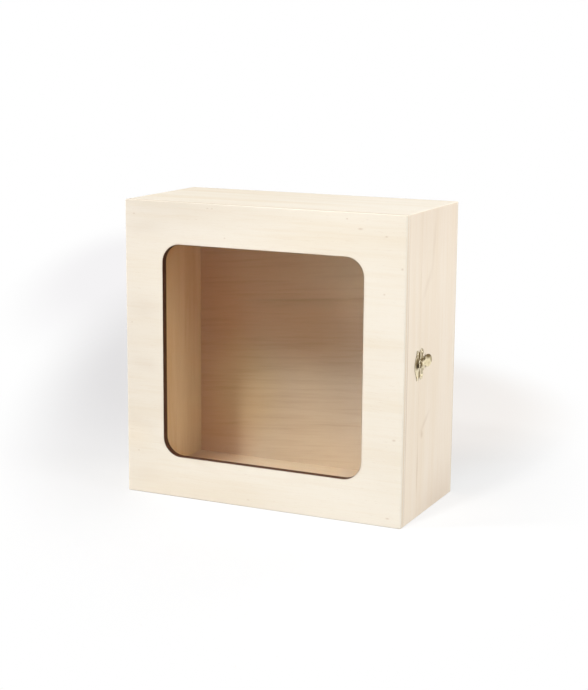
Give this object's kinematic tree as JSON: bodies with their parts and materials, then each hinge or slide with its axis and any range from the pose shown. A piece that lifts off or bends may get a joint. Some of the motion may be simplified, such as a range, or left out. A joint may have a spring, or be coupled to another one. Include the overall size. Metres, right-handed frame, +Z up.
{
  "type": "wooden box with window",
  "caption": "Upright wooden display box: a windowed lid swings on side hinges, and a small swing clasp holds it shut over the space for what is kept and shown.",
  "frame": {"origin": "centre of the box's footprint, on the surface that the box stands on", "axes": "+X to the right along the front, +Y from the front to the rear, +Z up"},
  "size_m": [0.2573, 0.118, 0.25],
  "materials": {
    "front_plywood": "sanded, unvarnished plywood with a laser-cut window edge",
    "board_wood": "sanded, unvarnished",
    "back_plywood": "sanded, unvarnished",
    "clear_pane": "clear polished acrylic",
    "hinge_brass": "bright",
    "clasp_brass": "antique brass plating"
  },
  "bodies": {
    "case": {"case_board_bottom": "board_wood", "case_board_right": "board_wood", "case_board_top": "board_wood", "case_board_left": "board_wood", "back_panel": "back_plywood", "lower_hinge_case_leaf": "hinge_brass", "upper_hinge_case_leaf": "hinge_brass", "lower_hinge_pin": "hinge_brass", "upper_hinge_pin": "hinge_brass", "case_hinge_screws": "hinge_brass", "clasp_base_plate": "clasp_brass", "clasp_rivet": "clasp_brass", "clasp_base_pins": "clasp_brass"},
    "lid": {"front_panel": "front_plywood", "window_pane": "clear_pane", "lid_rail_bottom": "board_wood", "lid_rail_right": "board_wood", "lid_rail_top": "board_wood", "lid_rail_left": "board_wood", "lower_hinge_lid_leaf": "hinge_brass", "upper_hinge_lid_leaf": "hinge_brass", "lid_hinge_screws": "hinge_brass", "clasp_catch_plate": "clasp_brass", "clasp_catch_pins": "clasp_brass"},
    "lever": {"clasp_lever": "clasp_brass"}
  },
  "joints": [
    {"name": "lid_hinge", "type": "hinge", "parent": "case", "child": "lid", "pos_m": [-0.127, -0.025, 0.125], "axis": [0, 0, -1], "range_deg": [0, 186]},
    {"name": "clasp_swing", "type": "hinge", "parent": "case", "child": "lever", "pos_m": [0.125, -0.0214, 0.1273], "axis": [-1, 0, 0], "range_deg": [0, 130]}
  ]
}
